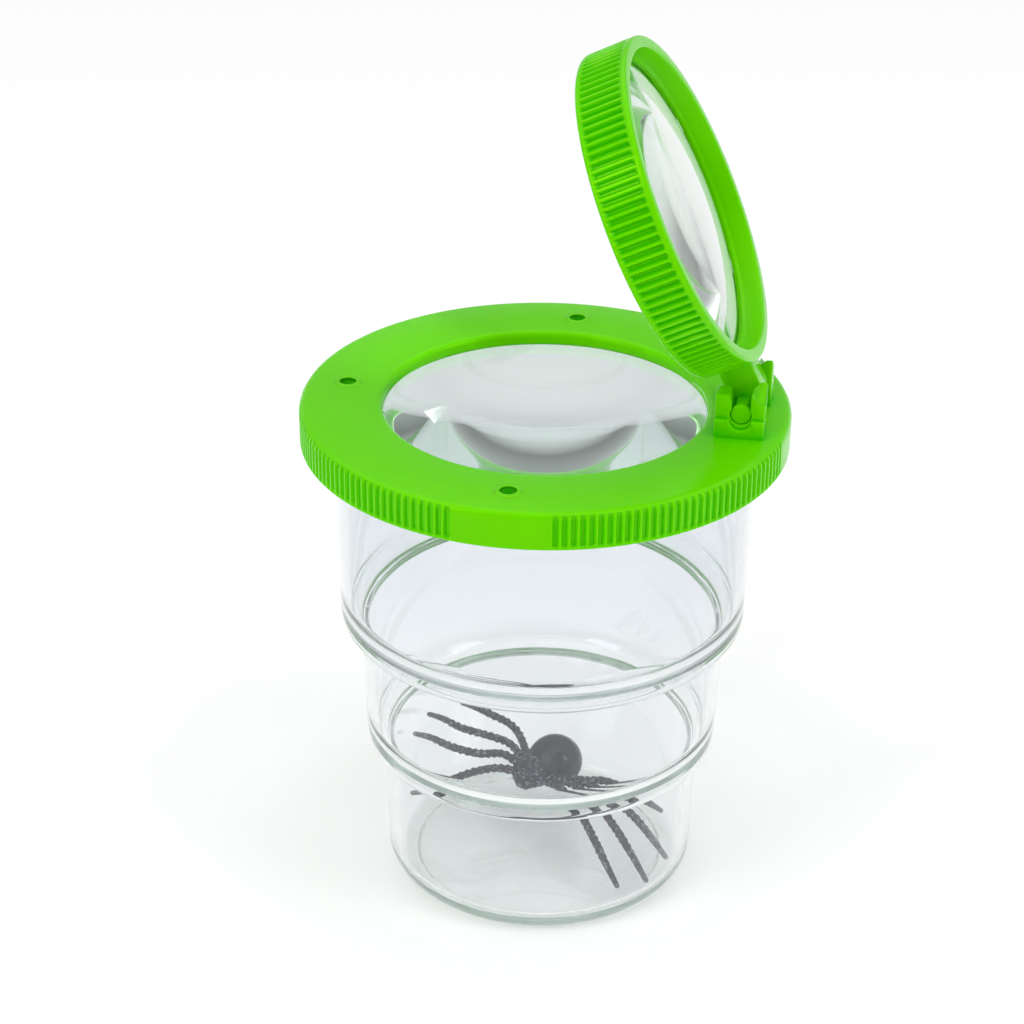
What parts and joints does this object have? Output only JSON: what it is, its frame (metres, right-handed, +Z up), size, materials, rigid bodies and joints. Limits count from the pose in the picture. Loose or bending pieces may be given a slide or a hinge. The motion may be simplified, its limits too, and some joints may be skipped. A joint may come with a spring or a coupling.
{
  "type": "bug catcher jar",
  "caption": "Clear stepped collecting jar with a push-on green lid that holds a magnifying lens, air holes, a hinged flip-up lens and a toy spider inside.",
  "frame": {"origin": "centre of the jar's base, on the surface it stands on", "axes": "+Z up along the jar's axis, +X towards the hinge, hinge axis along Y"},
  "size_m": [0.07, 0.07, 0.13],
  "materials": {
    "clear_jar": "clear gloss",
    "green_plastic": "gloss",
    "clear_lens": "clear polished",
    "black_rubber": "dull"
  },
  "bodies": {
    "jar": {"jar": "clear_jar"},
    "lid": {"lid_ring": "green_plastic", "lid_lens": "clear_lens"},
    "flip": {"flip_ring": "green_plastic", "flip_lens": "clear_lens"},
    "spider": {"toy_spider": "black_rubber"}
  },
  "joints": [
    {"name": "lid_lift", "type": "slide", "parent": "jar", "child": "lid", "axis": [0, 0, 1], "range_m": [0, 0.03]},
    {"name": "flip_hinge", "type": "hinge", "parent": "lid", "child": "flip", "pos_m": [0.0284, 0, 0.08035], "axis": [0, 1, 0], "range_deg": [-65, 100]},
    {"name": "spider_lift", "type": "slide", "parent": "jar", "child": "spider", "axis": [0, 0, 1], "range_m": [0, 0.045]}
  ]
}
